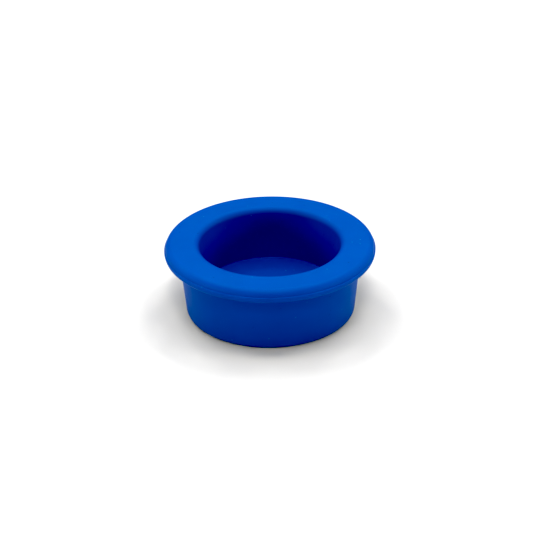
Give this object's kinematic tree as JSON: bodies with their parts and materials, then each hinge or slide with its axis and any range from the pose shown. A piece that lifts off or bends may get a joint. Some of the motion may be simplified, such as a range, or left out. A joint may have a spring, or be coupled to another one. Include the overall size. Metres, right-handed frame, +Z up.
{
  "type": "flanged silicone cup",
  "caption": "Round one-piece silicone cup with a wide rim flange, a tapered body and a flat-floored well open at the top.",
  "frame": {"origin": "centre of the base, on the surface that the cup stands on", "axes": "+Z up along the cup's axis, out of the well's mouth; X and Y are any two directions across it, as the cup is round"},
  "size_m": [0.06, 0.06, 0.0213],
  "materials": {
    "silicone": "matte"
  },
  "bodies": {
    "root": {"moulded_cup": "silicone"}
  },
  "joints": []
}
